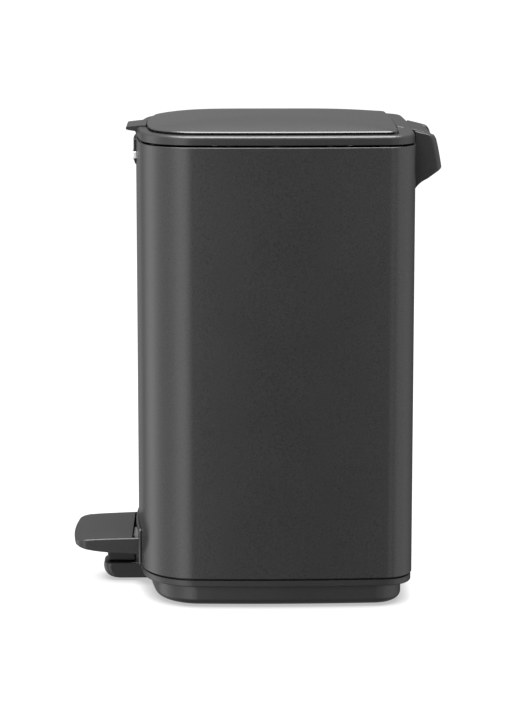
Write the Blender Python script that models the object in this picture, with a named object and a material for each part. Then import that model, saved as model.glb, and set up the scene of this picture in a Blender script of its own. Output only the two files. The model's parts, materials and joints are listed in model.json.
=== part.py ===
"""Pedal trash can, modelled as the separate pieces it comes apart into.

Metres, +Z up. The floor is z = 0. +Y is the back, with the hinge and the grip, -Y is the
front, with the pedal. The origin is the middle of the footprint. Positions below are measured
from the middle of the can's own body, and the empty body_frame moves the whole model by
BODY_Y, so that the footprint, pedal and grip included, is centred.
"""

import math
from collections import namedtuple

import bmesh
import bpy
from mathutils import Matrix, Vector

# ---------------------------------------------------------------- driving dimensions, metres

# Plan of a closed wall: four bowed sides joined by tangent corner arcs. Each bow is an arc.
Plan = namedtuple("Plan", "depth width mid_y side_r front_r rear_r front_corner rear_corner")
CAN = Plan(0.210, 0.175, 0.0, 1.361, 0.309, 1.452, 0.042, 0.0215)
TUB = Plan(0.1930, 0.171, 0.0002, 1.355, 0.299, 1.446, 0.0355, 0.0215)
PANEL = Plan(0.1880, 0.1590, -0.0025, 1.353, 0.301, 1.444, 0.036, 0.0075)
LEDGE = Plan(0.1740, 0.1450, -0.0025, 1.346, 0.294, 1.437, 0.029, 0.0070)
LINER = Plan(0.1740, 0.1580, -0.0055, 1.353, 0.301, 1.444, 0.036, 0.0160)
BUCKET = Plan(0.1805, 0.1510, -0.00225, 1.349, 0.297, 1.440, 0.034, 0.0155)

GAP = 0.0003  # between pieces that rest on each other
SHELL_BOTTOM, SHELL_TOP = 0.0225, 0.3477
SHEET = 0.0007  # steel sheet with its powder coating
HEM, HEM_HEIGHT = 0.0014, 0.0100  # the sheet is folded double at both ends of the shell
PEDAL_TIP_Y, GRIP_REAR_Y = -0.1553, 0.1261
BODY_Y = -(PEDAL_TIP_Y + GRIP_REAR_Y) / 2
FRONT, REAR = -CAN.depth / 2, CAN.depth / 2

# Lid
LID_BOTTOM, RIM_TOP = 0.3492, 0.3562
FLANGE_TOP = 0.0213
PANEL_EDGE, PANEL_CROWN = 0.3586, 0.0064
HINGE_Y, HINGE_Z = 0.1130, 0.3445
HINGE_PIN_R = 0.0020
LID_OPENS = math.radians(80)
ARM_HALF, ARM_END_R = 0.0280, 0.0081  # the hinge arm ends in a barrel round the axis
LIP_HALF = 0.0200
RELIEF_R = 0.0138  # the lid's rear wall is cut back to this circle to pass the grip

# Rear grip
GRIP_HALF, GRIP_CORNER = 0.0410, 0.0045
SCREW_X, SCREW_Z = 0.0345, 0.3215

# Push rod and the crank that it drives. The crank stands as far below the axis with the lid shut
# as above it with the lid open, so the rod's stroke follows from the lid's angle.
ROD_X, ROD_Y, ROD_R = 0.0070, 0.1000, 0.0020
CRANK_REACH = HINGE_Y - ROD_Y
ROD_STROKE = 2 * CRANK_REACH * math.tan(LID_OPENS / 2)
ROD_TOP = HINGE_Z - ROD_STROKE / 2
LEVER_PAD = 0.0222  # top of the lever's rear end, which lifts the rod
DAMPER_X, DAMPER_Y = -0.0130, 0.0975

# Pedal and its lever
PIVOT_Y, PIVOT_Z = -0.0640, 0.0300
AXLE_R = 0.0025
PEDAL_HALF, PEDAL_ROOT_Y = 0.0395, -0.1036
TOP_PLATE_END_Y = -0.1091  # the pedal's side walls run on from here into the window
WINDOW_HALF, WINDOW_TOP = 0.0403, 0.0462
SURROUND_HALF, SURROUND_BOTTOM, SURROUND_TOP = 0.0445, 0.0221, 0.0500
CUTOUT_HALF, CUTOUT_TOP = 0.0418, 0.0484  # opening in the shell behind the surround
LEVER_HALF, LEVER_TOP, LEVER_SHEET = 0.0120, 0.0356, 0.0022
FOOT_HALF, FOOT_FRONT_Y = 0.0125, -0.1325
BRACKET_X = 0.0235

FAR = 0.02  # how far a cutter runs past what it cuts

# ---------------------------------------------------------------- helpers


def clear_scene():
    for old in list(bpy.data.objects):
        bpy.data.objects.remove(old, do_unlink=True)


def look(name, colour, roughness, metallic=0.0):
    """A Principled material."""
    material = bpy.data.materials.new(name)
    material.use_nodes = True
    shader = material.node_tree.nodes["Principled BSDF"]
    shader.inputs["Base Color"].default_value = (*colour, 1.0)
    shader.inputs["Roughness"].default_value = roughness
    shader.inputs["Metallic"].default_value = metallic
    material.diffuse_color = (*colour, 1.0)
    return material


def empty(name, position, parent=None):
    axis = bpy.data.objects.new(name, None)
    bpy.context.scene.collection.objects.link(axis)
    axis.location = Vector(position)
    axis.parent = parent
    return axis


def piece(name, bm, parent, material, sharp=32.0):
    """A mesh drawn from the body's middle becomes an object with its parent's origin."""
    bmesh.ops.recalc_face_normals(bm, faces=bm.faces)
    mesh = bpy.data.meshes.new(name)
    bm.to_mesh(mesh)
    bm.free()
    if parent.parent:
        mesh.transform(Matrix.Translation(-parent.location))
    mesh.shade_smooth()
    mesh.set_sharp_from_angle(angle=math.radians(sharp))
    mesh.materials.append(material)
    obj = bpy.data.objects.new(name, mesh)
    bpy.context.scene.collection.objects.link(obj)
    obj.parent = parent
    return obj


def combine(operation, solid, *others):
    """The Boolean of a closed mesh with each of the others in turn, as one new mesh."""
    for other in others:
        pair = []
        for bm in (solid, other):
            bmesh.ops.recalc_face_normals(bm, faces=bm.faces)
            mesh = bpy.data.meshes.new("operand")
            bm.to_mesh(mesh)
            bm.free()
            obj = bpy.data.objects.new("operand", mesh)
            bpy.context.scene.collection.objects.link(obj)
            pair.append(obj)
        modifier = pair[0].modifiers.new("combine", "BOOLEAN")
        modifier.operation = operation
        modifier.solver = "EXACT"
        modifier.object = pair[1]
        solid = bmesh.new()
        solid.from_object(pair[0], bpy.context.evaluated_depsgraph_get())
        for obj in pair:
            bpy.data.objects.remove(obj, do_unlink=True)
    return solid


def cut(solid, *others):
    return combine("DIFFERENCE", solid, *others)


def join(solid, *others):
    return combine("UNION", solid, *others)


def common(solid, *others):
    return combine("INTERSECT", solid, *others)


def arc(centre, radius, start, end, steps):
    """Points on an arc, both ends included. Angles in degrees."""
    angles = (math.radians(start + (end - start) * i / steps) for i in range(steps + 1))
    return [
        Vector((centre[0] + radius * math.cos(a), centre[1] + radius * math.sin(a)))
        for a in angles
    ]


def circles_meet(a, ra, b, rb):
    """Where two circles cross, at the crossing with the larger X."""
    a, along = Vector(a), Vector(b) - Vector(a)
    d = along.length
    t = (ra * ra - rb * rb + d * d) / (2 * d)
    h = math.sqrt(ra * ra - t * t)
    along.normalize()
    across = Vector((-along.y, along.x))
    foot = a + along * t
    return max((foot + across * h, foot - across * h), key=lambda p: p.x)


def outline(plan, inset=0.0):
    """The plan's outline, moved in by inset, counter-clockwise from the middle of the front."""
    front = (0.0, plan.mid_y - plan.depth / 2 + plan.front_r)
    rear = (0.0, plan.mid_y + plan.depth / 2 - plan.rear_r)
    side = (plan.width / 2 - plan.side_r, plan.mid_y)
    fc, rc = plan.front_corner, plan.rear_corner
    front_mid = circles_meet(front, plan.front_r - fc, side, plan.side_r - fc)
    rear_mid = circles_meet(rear, plan.rear_r - rc, side, plan.side_r - rc)

    def bearing(centre, point):
        return math.degrees(math.atan2(point[1] - centre[1], point[0] - centre[0]))

    front_end, side_start = bearing(front, front_mid), bearing(side, front_mid)
    side_end, rear_start = bearing(side, rear_mid), bearing(rear, rear_mid)
    half = (
        arc(front, plan.front_r - inset, -90, front_end, 3)
        + arc(front_mid, fc - inset, front_end, side_start, 6)[1:]
        + arc(side, plan.side_r - inset, side_start, side_end, 4)[1:]
        + arc(rear_mid, rc - inset, side_end, rear_start, 4)[1:]
        + arc(rear, plan.rear_r - inset, rear_start, 90, 2)[1:]
    )
    return half + [Vector((-p.x, p.y)) for p in reversed(half[1:-1])]


def at_height(points, z):
    return [Vector((p.x, p.y, z)) for p in points]


def loft(rings, closed=False):
    """Skins a stack of equal rings. Closed: the last meets the first. Open: the ends are capped."""
    bm = bmesh.new()
    loops = [[bm.verts.new(p) for p in points] for points in rings]
    count = len(rings[0])
    pairs = list(zip(loops, loops[1:]))
    if closed:
        pairs.append((loops[-1], loops[0]))
    for low, high in pairs:
        for i in range(count):
            j = (i + 1) % count
            bm.faces.new((low[i], low[j], high[j], high[i]))
    if not closed:
        bm.faces.new(list(reversed(loops[0])))
        bm.faces.new(loops[-1])
    return bm


def plan_loft(profile, closed=False):
    """A loft through (plan, inset, height) entries."""
    return loft([at_height(outline(plan, inset), z) for plan, inset, z in profile], closed)


def band(outer, inner, z0, z1):
    """A wall that follows the can, between two insets (negative is outside the can)."""
    profile = [(CAN, outer, z0), (CAN, outer, z1), (CAN, inner, z1), (CAN, inner, z0)]
    return plan_loft(profile, closed=True)


def slab(wall, outer, inner, half, z0, z1, rounding):
    """A piece of such a wall at the middle of the front or rear, with rounded corners."""
    window = block((-half, wall - FAR, z0), (half, wall + FAR, z1), rounding, "Y")
    return common(band(outer, inner, z0 - FAR, z1 + FAR), window)


def prism_x(profile, x0, x1):
    """A (y, z) profile extruded along X from x0 to x1."""
    return loft([[Vector((x, p[0], p[1])) for p in profile] for x in (x0, x1)])


def turned(start, end, profile, sides=14):
    """A turned solid: profile holds (distance from start, radius), start to end."""
    start, along = Vector(start), (Vector(end) - Vector(start)).normalized()
    turn = Vector((0, 0, 1)).rotation_difference(along).to_matrix()
    rings = []
    for distance, radius in profile:
        circle = arc((0, 0), radius, 0, 360, sides)[:-1]
        rings.append([start + turn @ Vector((p.x, p.y, distance)) for p in circle])
    return loft(rings)


def bar(start, end, radius, sides=14):
    """A plain round bar."""
    length = (Vector(end) - Vector(start)).length
    return turned(start, end, [(0.0, radius), (length, radius)], sides)


def block(low, high, rounding=0.0, edges="Z"):
    """A box between two corners. Its edges along the named axes can be rounded."""
    low, high = Vector(low), Vector(high)
    bm = bmesh.new()
    bmesh.ops.create_cube(bm, size=1.0)
    bmesh.ops.scale(bm, vec=high - low, verts=bm.verts)
    bmesh.ops.translate(bm, vec=(low + high) / 2, verts=bm.verts)
    if rounding:
        chosen = []
        for edge in bm.edges:
            run = edge.verts[0].co - edge.verts[1].co
            if any(abs(run["XYZ".index(axis)]) > 1e-5 for axis in edges):
                chosen.append(edge)
        bmesh.ops.bevel(bm, geom=chosen, offset=rounding, segments=4, profile=0.5, affect="EDGES")
    return bm


def wire(path, radius, normal, sides=10):
    """A round bar along a path that lies in the plane square to normal, with flat ends."""
    rings = []
    last = len(path) - 1
    for i, point in enumerate(path):
        along = (path[min(i + 1, last)] - path[max(i - 1, 0)]).normalized()
        if i in (0, last):
            along = (path[1] - path[0] if i == 0 else path[last] - path[last - 1]).normalized()
        across = along.cross(normal)
        circle = arc((0, 0), radius, 0, 360, sides)[:-1]
        rings.append([point + across * p.x + normal * p.y for p in circle])
    return loft(rings)


# ---------------------------------------------------------------- fixed pieces of the body


def body_shell(parent, finish):
    """Bowed steel sleeve, hemmed at both ends, open at the pedal, the clip and the hinge."""
    profile = [
        (CAN, 0.0009, SHELL_BOTTOM),
        (CAN, 0.0002, SHELL_BOTTOM + 0.0004),
        (CAN, 0.0, SHELL_BOTTOM + 0.0012),
        (CAN, 0.0, SHELL_TOP - 0.0012),
        (CAN, 0.0002, SHELL_TOP - 0.0004),
        (CAN, 0.0009, SHELL_TOP),
        (CAN, HEM, SHELL_TOP),
        (CAN, HEM, SHELL_TOP - HEM_HEIGHT),
        (CAN, SHEET, SHELL_TOP - HEM_HEIGHT - 0.0008),
        (CAN, SHEET, SHELL_BOTTOM + HEM_HEIGHT + 0.0008),
        (CAN, HEM, SHELL_BOTTOM + HEM_HEIGHT),
        (CAN, HEM, SHELL_BOTTOM),
    ]
    openings = [
        block((-CUTOUT_HALF, FRONT - FAR, 0), (CUTOUT_HALF, FRONT + FAR, CUTOUT_TOP), 0.004, "Y"),
        block((-0.0056, FRONT - FAR, 0.3350), (0.0056, FRONT + FAR, 0.3430)),
        block((-0.0115, REAR - FAR, 0.3270), (0.0115, REAR + FAR, SHELL_TOP + FAR)),
    ]
    for x in (-SCREW_X, SCREW_X):
        openings.append(bar((x, REAR - FAR, SCREW_Z), (x, REAR + FAR, SCREW_Z), 0.0020, 16))
    piece("body_shell", cut(plan_loft(profile, closed=True), *openings), parent, finish)


def base_tray(parent, finish):
    """Moulded tray: tub, flange under the shell, upstand inside the shell, and the front foot."""
    profile = [
        (TUB, 0.0078, 0.0009),
        (TUB, 0.0048, 0.0014),
        (TUB, 0.0023, 0.0027),
        (TUB, 0.0006, 0.0047),
        (TUB, 0.0, 0.0071),
        (TUB, 0.0, 0.0160),
        (CAN, 0.0013, 0.0163),
        (CAN, 0.0007, 0.0169),
        (CAN, 0.0007, 0.0209),
        (CAN, 0.0011, FLANGE_TOP),
        (CAN, 0.0030, FLANGE_TOP),
        (CAN, 0.0030, 0.0229),
        (CAN, 0.0018, 0.0237),
        (CAN, 0.0018, 0.0300),
        (CAN, 0.0036, 0.0300),
        (CAN, 0.0045, 0.0200),
        (TUB, 0.0022, 0.0150),
        (TUB, 0.0022, 0.0080),
        (TUB, 0.0027, 0.0056),
        (TUB, 0.0040, 0.0039),
        (TUB, 0.0060, 0.0030),
        (TUB, 0.0085, 0.0027),
    ]
    side_view = [(-0.0948, 0.0143)]
    side_view += arc((FOOT_FRONT_Y + 0.0025, 0.0118), 0.0025, 90, 180, 3)
    side_view += arc((FOOT_FRONT_Y + 0.0088, 0.0105), 0.0088, 180, 270, 6)
    side_view += [(-0.1050, 0.0017), (-0.0885, 0.0017), (-0.0905, 0.0032), (-0.0948, 0.0080)]
    plan = block((-FOOT_HALF, FOOT_FRONT_Y, -FAR), (FOOT_HALF, 0.0, FAR), 0.0060)
    tray = join(plan_loft(profile), common(prism_x(side_view, -FAR, FAR), plan))
    for x in (-BRACKET_X, BRACKET_X):
        low, high = (x - 0.0075, PIVOT_Y - 0.008, 0.0020), (x + 0.0075, PIVOT_Y + 0.008, 0.0160)
        tray = join(tray, block(low, high))
    half = CUTOUT_HALF + GAP
    pedal_gap = block((-half, FRONT - FAR, FLANGE_TOP), (half, FRONT + FAR, 0.05))
    lever_gap = block((-0.0150, REAR - FAR, 0.0195), (0.0150, REAR - 0.0012, 0.05))
    tray = cut(tray, pedal_gap, lever_gap)
    piece("base_tray", tray, parent, finish)


def foot_pads(parent, finish):
    """Four round rubber pads stuck under the tray."""
    spots = [(x, y) for y in (-0.052, 0.066) for x in (-0.052, 0.052)]
    for number, (x, y) in enumerate(spots, 1):
        pad = turned((x, y, 0), (x, y, 1), [(0, 0.0070), (0.0002, 0.0075), (0.0006, 0.0075)], 16)
        piece(f"foot_pad_{number}", pad, parent, finish)


def pedal_surround(parent, finish):
    """Bowed arch round the pedal's window: a flange outside the shell, a collar through it."""
    height = (SURROUND_BOTTOM, SURROUND_TOP)
    flange = slab(FRONT, -0.0012, -GAP, SURROUND_HALF, *height, 0.0040)
    face = slab(
        FRONT, -0.0020, -0.0008, SURROUND_HALF - 0.0008, height[0] + 0.0004, height[1] - 0.0008, 0.0034
    )
    collar = slab(
        FRONT, -0.0008, 0.0050, CUTOUT_HALF - GAP, SURROUND_BOTTOM + 0.0001, CUTOUT_TOP - GAP, 0.0037
    )
    low = (-WINDOW_HALF, FRONT - FAR, SURROUND_BOTTOM - FAR)
    window = block(low, (WINDOW_HALF, FRONT + FAR, WINDOW_TOP), 0.0025, "Y")
    frame = cut(join(flange, face, collar), window)
    piece("pedal_surround", frame, parent, finish, 25)


def pedal_stop(parent, finish):
    """Rubber block on the front foot that the pedal's lever lands on."""
    stop = block((-0.0090, -0.1295, 0.0146), (0.0090, -0.1075, 0.0246), 0.0022, "XZ")
    piece("pedal_stop", stop, parent, finish)


def axle_and_brackets(parent, plastic, steel):
    """Two saddle brackets on the tray's bosses, the axle they carry and its two clips."""
    for number, x in enumerate((-BRACKET_X, BRACKET_X), 1):
        low, high = (x - 0.006, PIVOT_Y - 0.0065, 0.0163), (x + 0.006, PIVOT_Y + 0.0065, 0.0365)
        bore = bar((x - FAR, PIVOT_Y, PIVOT_Z), (x + FAR, PIVOT_Y, PIVOT_Z), AXLE_R + GAP)
        saddle = cut(block(low, high, 0.004, "X"), bore)
        piece(f"axle_bracket_{number}", saddle, parent, plastic)
        inner = x + math.copysign(0.0063, x)
        outer = x + math.copysign(0.0073, x)
        clip = bar((inner, PIVOT_Y, PIVOT_Z), (outer, PIVOT_Y, PIVOT_Z), 0.0048, 16)
        eye = bar((inner - FAR, PIVOT_Y, PIVOT_Z), (inner + FAR, PIVOT_Y, PIVOT_Z), AXLE_R + GAP)
        piece(f"axle_clip_{number}", cut(clip, eye), parent, steel)
    end = BRACKET_X + 0.0085
    piece("pedal_axle", bar((-end, PIVOT_Y, PIVOT_Z), (end, PIVOT_Y, PIVOT_Z), AXLE_R), parent, steel)


def rim_collar(parent, finish):
    """Plastic collar inside the shell's top edge, with the ledge that carries the bucket."""
    profile = [
        (CAN, HEM + GAP, 0.3310),
        (CAN, HEM + GAP, 0.3473),
        (CAN, 0.0050, 0.3473),
        (CAN, 0.0062, 0.3466),
        (CAN, 0.0062, 0.3405),
        (BUCKET, -0.0007, 0.3405),
        (BUCKET, -0.0007, 0.3387),
        (CAN, 0.0036, 0.3380),
        (CAN, 0.0032, 0.3310),
    ]
    crank_notch = block((-0.0115, 0.0915, 0.32), (0.0115, REAR + FAR, 0.36))
    clip_pocket = block((-0.0056, FRONT - FAR, 0.3350), (0.0056, FRONT + 0.0052, 0.3430))
    collar = cut(plan_loft(profile, closed=True), crank_notch, clip_pocket)
    piece("rim_collar", collar, parent, finish)


def front_clip(parent, finish, plate_finish):
    """Clip under the lid's lip, with a wedge-shaped lower end and a blank metal badge."""
    half, bottom, top, wedge = 0.0185, 0.3276, 0.3472, 0.3312
    proud = 0.0019
    side_view = [
        (FRONT - 0.0009, bottom),
        (FRONT + FAR, bottom),
        (FRONT + FAR, top),
        (FRONT - FAR, top),
        (FRONT - FAR, wedge + 0.0001),
        (FRONT - proud - 0.0001, wedge),
    ]
    plan = block((-half, FRONT - proud, 0.30), (half, FRONT + FAR, 0.40), 0.0016)
    clip = common(band(-proud, -GAP, 0.31, 0.36), prism_x(side_view, -FAR, FAR), plan)
    clip = join(clip, block((-0.0052, FRONT - 0.0012, 0.3354), (0.0052, FRONT + 0.0044, 0.3426)))
    clip = cut(clip, slab(FRONT, -0.0040, -0.0009, 0.0200, 0.3315, 0.3375, 0.0))
    piece("front_clip", clip, parent, finish, 25)
    badge = slab(FRONT, -0.0026, -0.0009 - GAP, 0.0188, 0.3318, 0.3372, 0.0008)
    piece("clip_inlay", badge, parent, plate_finish, 25)


def grip_section(z, rear):
    """The grip's plan at one height: straight sides, rounded rear corners, bowed rear."""
    bow = 0.0008
    inner = GRIP_HALF - GRIP_CORNER
    right = [Vector((GRIP_HALF, REAR - 0.004))]
    right += arc((inner, rear - bow - GRIP_CORNER), GRIP_CORNER, 0, 90, 5)
    for step in range(4, -1, -1):
        x = inner * step / 5
        right.append(Vector((x, rear - bow * (x / inner) ** 2)))
    left = [Vector((-p.x, p.y)) for p in reversed(right[:-1])]
    return at_height(right + left, z)


def rear_grip(parent, finish):
    """Hand grip behind the shell: hinge pocket above, finger pocket below."""
    levels = [
        (0.3080, GRIP_REAR_Y),
        (0.3262, GRIP_REAR_Y),
        (0.3450, 0.1228),
        (0.3485, 0.1219),
        (0.3510, 0.1204),
        (0.3530, 0.1180),
        (0.3560, 0.1140),
    ]
    grip = loft([grip_section(z, y) for z, y in levels])
    underside = [(0.09, 0.30), (0.09, 0.3109)]
    underside += arc((0.1225, 0.3000), 0.0205, 148, 113, 4)
    underside += [(0.1230, 0.3250), (0.14, 0.3385), (0.14, 0.30)]
    top_slope = [(0.09, 0.37), (0.09, 0.3564), (0.1042, 0.3550), (0.1118, 0.3536)]
    top_slope += [(0.1185, 0.3518), (0.1300, 0.3478), (0.1300, 0.37)]
    sweep_r = ARM_END_R + 0.0005
    hinge_pocket = [(REAR - FAR, HINGE_Z - sweep_r)]
    hinge_pocket += arc((HINGE_Y, HINGE_Z), sweep_r, -90, 0, 7)
    hinge_pocket += [(0.14, HINGE_Z), (0.14, 0.37), (REAR - FAR, 0.37)]
    grip = cut(
        grip,
        plan_loft([(CAN, -GAP, 0.29), (CAN, -GAP, 0.37)]),
        prism_x(underside, -0.06, 0.06),
        prism_x(top_slope, -0.06, 0.06),
        block((-0.0280, REAR + 0.0019, 0.30), (0.0280, 0.1222, 0.3330), 0.003, "Z"),
        prism_x(hinge_pocket, -ARM_HALF - 0.0006, ARM_HALF + 0.0006),
        block((-0.0070, REAR - FAR, 0.3250), (0.0070, HINGE_Y, HINGE_Z)),
        bar((-0.0386, HINGE_Y, HINGE_Z), (0.0386, HINGE_Y, HINGE_Z), HINGE_PIN_R + GAP),
    )
    for x in (-SCREW_X, SCREW_X):
        grip = cut(grip, bar((x, REAR - FAR, SCREW_Z), (x, 0.1145, SCREW_Z), 0.0018, 16))
    piece("rear_grip", grip, parent, finish, 28)


def grip_fixings(parent, steel):
    """Hinge pin, the plate inside the shell, and the two screws that hold the grip."""
    ends = [(x, HINGE_Y, HINGE_Z) for x in (-0.0382, 0.0382)]
    piece("hinge_pin", bar(*ends, HINGE_PIN_R), parent, steel)
    plate = slab(REAR, SHEET + GAP, SHEET + 0.0015, 0.0420, 0.3160, 0.3264, 0.0020)
    for number, x in enumerate((-SCREW_X, SCREW_X), 1):
        plate = cut(plate, bar((x, REAR - FAR, SCREW_Z), (x, REAR + FAR, SCREW_Z), 0.0020, 16))
        profile = [(0, 0.0022), (0.0006, 0.0030), (0.0022, 0.0030), (0.0022, 0.0015), (0.0138, 0.0015)]
        screw = turned((x, 0.0996, SCREW_Z), (x, 1, SCREW_Z), profile, 12)
        piece(f"grip_screw_{number}", screw, parent, steel)
    piece("grip_backplate", plate, parent, steel)


def rod_guides(parent, finish):
    """Two guide blocks on the shell's rear wall that keep the push rod upright."""
    for number, z in enumerate((0.0900, 0.2900), 1):
        low, high = (ROD_X - 0.006, 0.0955, z), (ROD_X + 0.006, 0.1039, z + 0.010)
        bore = bar((ROD_X, ROD_Y, z - FAR), (ROD_X, ROD_Y, z + FAR), ROD_R + 0.0004)
        piece(f"rod_guide_{number}", cut(block(low, high, 0.0015, "Z"), bore), parent, finish)


def damper(parent, finish, steel):
    """Soft-close damper beside the rod: cylinder, gland and the bracket that holds it."""
    foot = (DAMPER_X, DAMPER_Y, 0.1500)
    up = (DAMPER_X, DAMPER_Y, 1.0)
    cylinder = bar(foot, (DAMPER_X, DAMPER_Y, 0.2220), 0.0052, 16)
    bore = bar((DAMPER_X, DAMPER_Y, 0.1530), (DAMPER_X, DAMPER_Y, 0.2220 + FAR), 0.0040, 16)
    piece("damper_cylinder", cut(cylinder, bore), parent, steel)
    profile = [(0, 0.0052), (0.0030, 0.0052), (0.0038, 0.0042)]
    gland = turned((DAMPER_X, DAMPER_Y, 0.2223), up, profile, 16)
    eye = bar((DAMPER_X, DAMPER_Y, 0.21), (DAMPER_X, DAMPER_Y, 0.24), 0.0019, 16)
    piece("damper_gland", cut(gland, eye), parent, finish)
    low, high = (DAMPER_X - 0.0080, 0.0950, 0.1780), (DAMPER_X + 0.0080, 0.1038, 0.1900)
    hole = bar((DAMPER_X, DAMPER_Y, 0.16), (DAMPER_X, DAMPER_Y, 0.21), 0.0055, 16)
    slot = block((DAMPER_X - 0.0035, 0.09, 0.17), (DAMPER_X + 0.0035, 0.096, 0.20))
    piece("damper_bracket", cut(block(low, high), hole, slot), parent, finish)


def inner_bucket(parent, finish):
    """Lift-out bucket with a carrying flange and two ears for its wire handle."""
    profile = [
        (BUCKET, 0.0130, 0.0620),
        (BUCKET, 0.0082, 0.0628),
        (BUCKET, 0.0054, 0.0656),
        (BUCKET, 0.0044, 0.0700),
        (BUCKET, 0.0006, 0.3330),
        (BUCKET, 0.0004, 0.3409),
        (BUCKET, -0.0030, 0.3409),
        (BUCKET, -0.0030, 0.3430),
        (BUCKET, 0.0016, 0.3430),
        (BUCKET, 0.0024, 0.3422),
        (BUCKET, 0.0026, 0.3330),
        (BUCKET, 0.0064, 0.0705),
        (BUCKET, 0.0072, 0.0672),
        (BUCKET, 0.0094, 0.0652),
        (BUCKET, 0.0135, 0.0644),
    ]
    bucket = plan_loft(profile)
    for side in (-1, 1):
        x0, x1 = sorted((side * 0.0726, side * 0.0746))
        ear = block((x0, -0.0045, 0.3420), (x1, 0.0045, 0.3474), 0.0015, "X")
        hole = bar((side * 0.06, 0, 0.3449), (side * 0.09, 0, 0.3449), 0.0018, 16)
        bucket = cut(join(bucket, ear), hole)
    piece("inner_bucket", bucket, parent, finish)


def bucket_handle(parent, finish):
    """Wire handle folded down along the front half of the bucket's flange."""
    height = 0.3449
    edge = [p for p in outline(BUCKET, -0.0012) if p.y < -0.006]
    right = sorted((p for p in edge if p.x > 0.001), key=lambda p: -p.y)
    path = [Vector((0.0722, 0.0, height)), Vector((0.0752, 0.0, height))]
    path += [Vector((0.0764, -0.0008, height)), Vector((0.0767, -0.0022, height))]
    path += at_height(right, height) + [Vector((0.0, outline(BUCKET, -0.0012)[0].y, height))]
    path += [Vector((-p.x, p.y, p.z)) for p in reversed(path[:-1])]
    piece("bucket_handle", wire(path, 0.0014, Vector((0, 0, 1)), 6), parent, finish)


# ---------------------------------------------------------------- lid


def lid_frame(parent, finish):
    """Moulded lid frame with the front lip, the hinge arm and the crank fork in one piece."""
    profile = [
        (CAN, 0.0024, LID_BOTTOM),
        (CAN, 0.0012, LID_BOTTOM),
        (CAN, 0.0007, LID_BOTTOM + 0.0006),
        (CAN, 0.0007, RIM_TOP - 0.0022),
        (CAN, 0.0011, RIM_TOP - 0.0010),
        (CAN, 0.0019, RIM_TOP - 0.0002),
        (CAN, 0.0034, RIM_TOP),
        (PANEL, -0.0010, RIM_TOP),
        (PANEL, -0.0007, RIM_TOP - 0.0004),
        (PANEL, -0.0007, 0.3540),
        (LEDGE, 0.0, 0.3540),
        (LEDGE, 0.0, 0.3516),
        (CAN, 0.0022, 0.3516),
    ]
    axis = (HINGE_Y, HINGE_Z)
    relief = bar((-0.0425, *axis), (0.0425, *axis), RELIEF_R, 28)
    frame = cut(plan_loft(profile, closed=True), relief)
    frame = join(frame, hinge_arm(), crank_fork(), front_lip())
    bore = bar((-0.05, *axis), (0.05, *axis), HINGE_PIN_R + GAP)
    frame = cut(frame, bore)
    for x, y in lid_screw_spots():
        frame = cut(frame, bar((x, y, 0.34), (x, y, 0.37), 0.0015, 14))
    piece("lid_frame", frame, parent, finish, 28)


def hinge_arm():
    """Raised arm from the panel's rear edge back over the grip, ending round the hinge axis."""
    side_view = [(0.0920, 0.3572), (0.0960, 0.3568), (0.1040, 0.3553)]
    side_view += arc((HINGE_Y, HINGE_Z), ARM_END_R, 75, -50, 10)
    side_view += [(0.1110, 0.3372), (0.1072, 0.3400), (0.1066, 0.3450), (0.1045, 0.3498)]
    side_view += [(0.0920, 0.3520)]
    arm = prism_x(side_view, -ARM_HALF, ARM_HALF)
    finger_room = []
    for side in (-1, 1):
        x0, x1 = sorted((side * 0.0062, side * 0.0190))
        finger_room.append(block((x0, REAR - 0.0010, 0.33), (x1, 0.1250, 0.3492)))
    return cut(arm, *finger_room)


def crank_fork():
    """Open fork below the arm. The push rod's bent top rides in its slot."""
    half, slot, root, bottom, tip = 0.0056, 0.0031, 0.0030, 0.0104, 0.0186
    lean = LID_OPENS / 2
    along = Vector((-math.cos(lean), -math.sin(lean)))
    across = Vector((math.sin(lean), -math.cos(lean)))
    corners = [(root, half), (tip, half), (tip, slot), (bottom, slot)]
    corners += [(r, -w) for r, w in reversed(corners)]
    axis = Vector((HINGE_Y, HINGE_Z))
    return prism_x([axis + along * r + across * w for r, w in corners], -0.0040, 0.0040)


def front_lip():
    """Finger lip: a raised band from the panel's front edge out over the clip."""
    tip = FRONT - 0.0072
    side_view = [
        (-0.0968, 0.3575),
        (-0.1010, 0.3574),
        (-0.1060, 0.3569),
        (tip + 0.0010, 0.3561),
        (tip, 0.3552),
        (tip + 0.0002, 0.3542),
        (tip + 0.0020, 0.3536),
        (FRONT - 0.0002, 0.3528),
        (FRONT + 0.0012, 0.3500),
        (FRONT + 0.0019, 0.3500),
        (FRONT + 0.0040, 0.3530),
        (-0.0968, 0.3550),
    ]
    return prism_x(side_view, -LIP_HALF, LIP_HALF)


def lid_panel(parent, finish):
    """Crowned steel panel in the frame's recess. Its edge overhangs the wall it stands on."""

    def crowned(plan_inset, scale, drop):
        middle = Vector((0.0, PANEL.mid_y))
        points = [middle + (p - middle) * scale for p in outline(PANEL, plan_inset)]
        height = PANEL_EDGE + PANEL_CROWN * (1 - scale**2.6) - drop
        return at_height(points, height)

    rings = [crowned(0.0018, s, 0.0012) for s in (0.15, 0.70, 0.95)]
    rings += [at_height(outline(PANEL, 0.0050), 0.3574), at_height(outline(PANEL, 0.0048), 0.3544)]
    rings += [at_height(outline(PANEL, 0.0036), 0.3544), at_height(outline(PANEL, 0.0034), 0.3575)]
    rings += [at_height(outline(PANEL, 0.0003), 0.3575), at_height(outline(PANEL), 0.3578)]
    rings += [at_height(outline(PANEL, 0.0003), PANEL_EDGE - 0.0003)]
    rings += [crowned(0.0010, s, 0.0) for s in (1.0, 0.95, 0.85, 0.70, 0.50, 0.15)]
    piece("lid_panel", loft(rings), parent, finish, 40)


def lid_screw_spots():
    return [(x, y) for y in (-0.045, 0.055) for x in (-0.0765, 0.0765)]


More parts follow.
